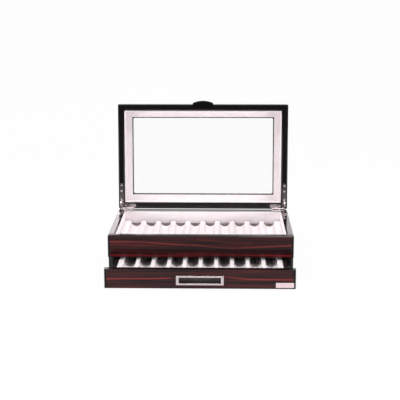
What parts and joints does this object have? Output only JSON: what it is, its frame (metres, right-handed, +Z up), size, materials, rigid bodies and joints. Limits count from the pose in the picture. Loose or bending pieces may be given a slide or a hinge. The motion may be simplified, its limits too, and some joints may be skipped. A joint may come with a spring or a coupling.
{
  "type": "pen collector chest",
  "caption": "Two-level lacquered pen display chest: glazed lid on quadrant hinges, grooved upper tray and a drawer with a second grooved tray.",
  "frame": {"origin": "middle of the underside, on the felt that rests on the table", "axes": "+X to the right seen from the front, +Y to the back, +Z up"},
  "size_m": [0.35, 0.3336, 0.3076],
  "materials": {
    "veneer": "high-gloss dark striped veneer",
    "lacquer": "high-gloss black lacquer",
    "inner_wood": "satin black stain",
    "lining": "soft velvet",
    "felt": "felt",
    "steel": "polished",
    "cup": "satin black",
    "glass": "clear"
  },
  "bodies": {
    "cabinet": {"left_side_panel": "lacquer", "right_side_panel": "lacquer", "back_panel": "lacquer", "front_panel": "veneer", "bottom_panel": "inner_wood", "shelf_panel": "inner_wood", "felt_base": "felt", "drawer_runners": "inner_wood", "drawer_stop": "inner_wood", "upper_lining_front": "lining", "upper_lining_back": "lining", "upper_lining_left": "lining", "upper_lining_right": "lining", "upper_pen_tray": "lining", "left_base_leaf": "steel", "right_base_leaf": "steel", "left_hinge_pin": "steel", "right_hinge_pin": "steel", "base_hinge_screws": "steel"},
    "left_stay": {"left_stay": "steel"},
    "right_stay": {"right_stay": "steel"},
    "lid": {"lid_front_rail": "lacquer", "lid_back_rail": "lacquer", "lid_left_rail": "lacquer", "lid_right_rail": "lacquer", "lid_top_frame": "lacquer", "window_pane": "glass", "window_border": "lining", "lid_lining_front": "lining", "lid_lining_back": "lining", "lid_lining_left": "lining", "lid_lining_right": "lining", "left_lid_leaf": "steel", "right_lid_leaf": "steel", "lid_hinge_screws": "steel", "lift_tab": "lacquer"},
    "drawer": {"drawer_front": "veneer", "drawer_left_side": "inner_wood", "drawer_right_side": "inner_wood", "drawer_floor": "inner_wood", "drawer_back": "inner_wood", "drawer_pen_tray": "lining", "pull_frame": "steel", "pull_cup": "cup", "pull_screws": "steel"}
  },
  "joints": [
    {"name": "lid_hinge", "type": "hinge", "parent": "cabinet", "child": "lid", "pos_m": [0, 0.1082, 0.08465], "axis": [1, 0, 0], "range_deg": [0, 94.7]},
    {"name": "left_stay_swing", "type": "hinge", "parent": "cabinet", "child": "left_stay", "pos_m": [-0.1685, 0.1082, 0.08465], "axis": [1, 0, 0], "range_deg": [0, 47.35]},
    {"name": "right_stay_swing", "type": "hinge", "parent": "cabinet", "child": "right_stay", "pos_m": [0.1685, 0.1082, 0.08465], "axis": [1, 0, 0], "range_deg": [0, 47.35]},
    {"name": "drawer_slide", "type": "slide", "parent": "cabinet", "child": "drawer", "axis": [0, -1, 0], "range_m": [-0.0675, 0.0675]}
  ],
  "couplings": [
    {"joint": "left_stay_swing", "follows": "lid_hinge", "ratio": 0.5},
    {"joint": "right_stay_swing", "follows": "lid_hinge", "ratio": 0.5}
  ]
}
